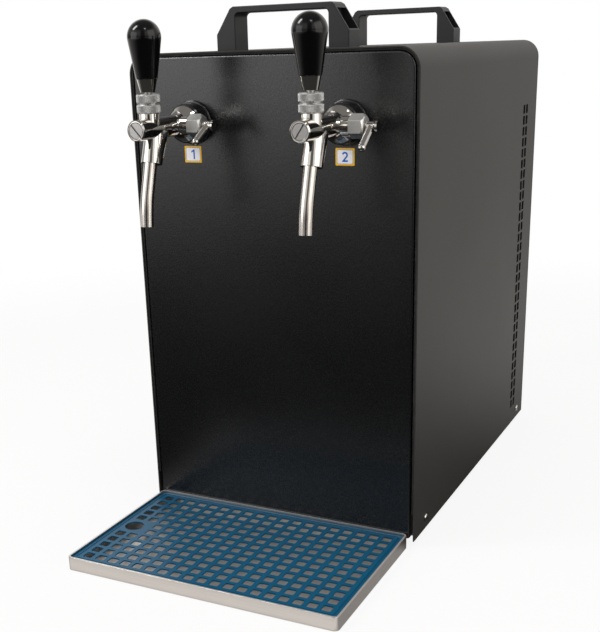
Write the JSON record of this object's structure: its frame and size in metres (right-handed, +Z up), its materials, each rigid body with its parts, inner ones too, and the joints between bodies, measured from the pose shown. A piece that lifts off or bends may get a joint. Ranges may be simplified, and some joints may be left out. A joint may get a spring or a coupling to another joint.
{
  "type": "beer dispenser",
  "caption": "Countertop beer cooler: upright sheet-metal cabinet with carrying handles, chromed lever taps with flow compensators, and a loose drip tray.",
  "frame": {"origin": "on the table, under the middle of the whole cooler's box", "axes": "+Z up, the taps face -Y, +X to the right of someone facing +Y"},
  "size_m": [0.293, 0.6094, 0.4966],
  "materials": {
    "casing_coat": "dark warm grey fine-textured powder coat",
    "front_coat": "near-black fine-textured powder coat",
    "gasket_rubber": "black rubber profile",
    "zinc_plate": "zinc-plated sheet",
    "foot_rubber": "black moulded rubber",
    "screw_steel": "bright plated steel",
    "handle_plastic": "charcoal moulded plastic, fine grain",
    "tap_chrome": "polished chrome plate",
    "nut_brass": "plain turned brass",
    "collar_plastic": "gloss black moulded plastic",
    "knurl_steel": "satin nickel with knurling",
    "plate_print": "white label with a blue frame, yellow border and blue numeral",
    "tray_steel": "brushed stainless sheet",
    "grid_plastic": "blue moulded plastic",
    "switch_plastic": "black moulded plastic",
    "dial_plastic": "black moulded plastic with white scale marks",
    "rocker_plastic": "green switch rocker",
    "fitting_plastic": "dark grey acetal",
    "collet_plastic": "white acetal",
    "cast_aluminium": "cast aluminium",
    "foam": "expanded insulation foam",
    "coil_steel": "stainless tube",
    "copper_tube": "drawn copper tube",
    "compressor_paint": "black stove enamel",
    "motor_iron": "dark motor steel",
    "fin_aluminium": "bare aluminium fins",
    "knob_plastic": "gloss black phenolic",
    "spout_steel": "polished stainless tube",
    "cone_plastic": "white acetal cone"
  },
  "bodies": {
    "cabinet": {"outer_casing": "casing_coat", "front_panel": "front_coat", "panel_gasket": "gasket_rubber", "base_plate": "zinc_plate", "rear_panel": "casing_coat", "rubber_feet": "foot_rubber", "casing_screws": "screw_steel", "rear_screws": "screw_steel", "handle_front": "handle_plastic", "handle_rear": "handle_plastic", "handle_screws": "screw_steel", "tap_shanks": "tap_chrome", "shank_nuts": "nut_brass", "shank_collars": "collar_plastic", "tap_plugs": "tap_chrome", "tap_seals": "gasket_rubber", "knurled_rings": "knurl_steel", "compensator_nuts": "knurl_steel", "number_plates": "plate_print", "thermostat": "switch_plastic", "switch_housing": "switch_plastic", "mains_inlet": "switch_plastic", "beer_inlets": "fitting_plastic", "cooling_block": "cast_aluminium", "block_insulation": "foam", "beer_coil_1": "coil_steel", "beer_coil_2": "coil_steel", "evaporator_coil": "copper_tube", "compressor_shell": "compressor_paint", "compressor_motor": "motor_iron", "compressor_grommets": "foot_rubber", "condenser": "fin_aluminium", "fan_shroud": "zinc_plate", "fan_motor": "motor_iron", "filter_drier": "copper_tube", "refrigerant_pipes": "copper_tube", "tap_body_1": "tap_chrome", "spout_1": "spout_steel", "tap_body_2": "tap_chrome", "spout_2": "spout_steel"},
    "lever_1": {"lever_stem_1": "screw_steel", "lever_ferrule_1": "tap_chrome", "lever_knob_1": "knob_plastic"},
    "lever_2": {"lever_stem_2": "screw_steel", "lever_ferrule_2": "tap_chrome", "lever_knob_2": "knob_plastic"},
    "valve_1": {"valve_piston_1": "screw_steel"},
    "valve_2": {"valve_piston_2": "screw_steel"},
    "flow_arm_1": {"compensator_lever_1": "tap_chrome"},
    "flow_arm_2": {"compensator_lever_2": "tap_chrome"},
    "flow_cone_1": {"compensator_cone_1": "cone_plastic"},
    "flow_cone_2": {"compensator_cone_2": "cone_plastic"},
    "tray": {"drip_tray": "tray_steel"},
    "grid": {"drip_grid": "grid_plastic"},
    "fan": {"fan_shaft": "screw_steel", "fan_blade": "cast_aluminium"},
    "dial": {"thermostat_dial": "dial_plastic"},
    "rocker": {"power_rocker": "rocker_plastic"},
    "collet_1": {"inlet_collet_1": "collet_plastic"},
    "collet_2": {"inlet_collet_2": "collet_plastic"}
  },
  "joints": [
    {"name": "lever_1_tilt", "type": "hinge", "parent": "cabinet", "child": "lever_1", "pos_m": [-0.0769, -0.20735, 0.408], "axis": [1, 0, 0], "range_deg": [-9, 17]},
    {"name": "valve_1_slide", "type": "slide", "parent": "cabinet", "child": "valve_1", "axis": [0, 1, 0], "range_m": [-0.0021, 0.0037]},
    {"name": "flow_arm_1_turn", "type": "hinge", "parent": "cabinet", "child": "flow_arm_1", "pos_m": [-0.0769, -0.17135, 0.3962], "axis": [1, 0, 0], "range_deg": [-40, 40]},
    {"name": "flow_cone_1_slide", "type": "slide", "parent": "cabinet", "child": "flow_cone_1", "axis": [0, 1, 0], "range_m": [-0.0018, 0.0018]},
    {"name": "lever_2_tilt", "type": "hinge", "parent": "cabinet", "child": "lever_2", "pos_m": [0.0781, -0.20735, 0.408], "axis": [1, 0, 0], "range_deg": [-9, 17]},
    {"name": "valve_2_slide", "type": "slide", "parent": "cabinet", "child": "valve_2", "axis": [0, 1, 0], "range_m": [-0.0021, 0.0037]},
    {"name": "flow_arm_2_turn", "type": "hinge", "parent": "cabinet", "child": "flow_arm_2", "pos_m": [0.0781, -0.17135, 0.3962], "axis": [1, 0, 0], "range_deg": [-40, 40]},
    {"name": "flow_cone_2_slide", "type": "slide", "parent": "cabinet", "child": "flow_cone_2", "axis": [0, 1, 0], "range_m": [-0.0018, 0.0018]},
    {"name": "tray_pull", "type": "slide", "parent": "cabinet", "child": "tray", "axis": [0, -1, 0], "range_m": [0, 0.12]},
    {"name": "grid_lift", "type": "slide", "parent": "tray", "child": "grid", "axis": [0, 0, 1], "range_m": [0, 0.06]},
    {"name": "fan_spin", "type": "hinge", "parent": "cabinet", "child": "fan", "pos_m": [-0.022, 0.22765, 0.25], "axis": [0, 1, 0], "continuous": true},
    {"name": "dial_turn", "type": "hinge", "parent": "cabinet", "child": "dial", "pos_m": [0.11, 0.28265, 0.087], "axis": [0, 1, 0], "range_deg": [-150, 120]},
    {"name": "rocker_press", "type": "hinge", "parent": "cabinet", "child": "rocker", "pos_m": [-0.098, 0.27465, 0.112], "axis": [1, 0, 0], "range_deg": [-16, 0]},
    {"name": "collet_1_press", "type": "slide", "parent": "cabinet", "child": "collet_1", "axis": [0, -1, 0], "range_m": [0, 0.0012]},
    {"name": "collet_2_press", "type": "slide", "parent": "cabinet", "child": "collet_2", "axis": [0, -1, 0], "range_m": [0, 0.0012]}
  ],
  "couplings": [
    {"joint": "valve_1_slide", "follows": "lever_1_tilt", "m_per_rad": 0.0118},
    {"joint": "flow_cone_1_slide", "follows": "flow_arm_1_turn", "m_per_rad": 0.0024},
    {"joint": "valve_2_slide", "follows": "lever_2_tilt", "m_per_rad": 0.0118},
    {"joint": "flow_cone_2_slide", "follows": "flow_arm_2_turn", "m_per_rad": 0.0024}
  ]
}
